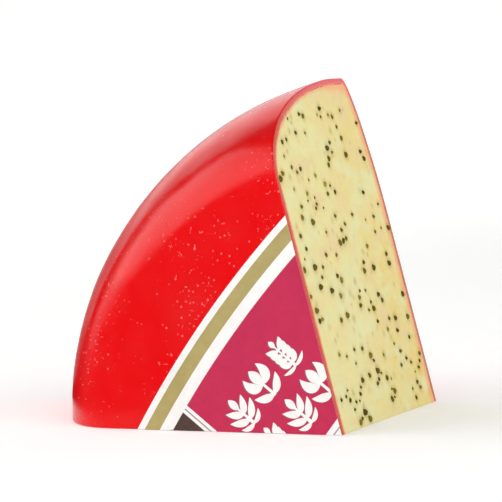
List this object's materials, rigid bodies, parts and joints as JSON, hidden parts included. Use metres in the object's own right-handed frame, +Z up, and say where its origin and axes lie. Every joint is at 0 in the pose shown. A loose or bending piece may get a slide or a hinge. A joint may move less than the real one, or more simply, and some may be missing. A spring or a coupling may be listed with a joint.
{
  "type": "cut wedge of wax-coated cheese",
  "caption": "Wedge of seeded pale cheese cut from a thick round-shouldered wheel, coated in red wax on its faces and rim, with part of a paper label, standing on a cut face.",
  "frame": {"origin": "middle of the bounding box's bottom, on the surface that the lower cut face stands on", "axes": "+Z up; the wheel's axis lies along Y with the labelled face looking to -Y; the wedge's sharp edge is at +X and the wheel's rim at -X"},
  "size_m": [0.09, 0.0706, 0.0873],
  "materials": {
    "cheese": "satin",
    "wax": "gloss",
    "label": "satin"
  },
  "bodies": {
    "root": {"cheese": "cheese", "wax_coat": "wax", "label": "label"}
  },
  "joints": []
}
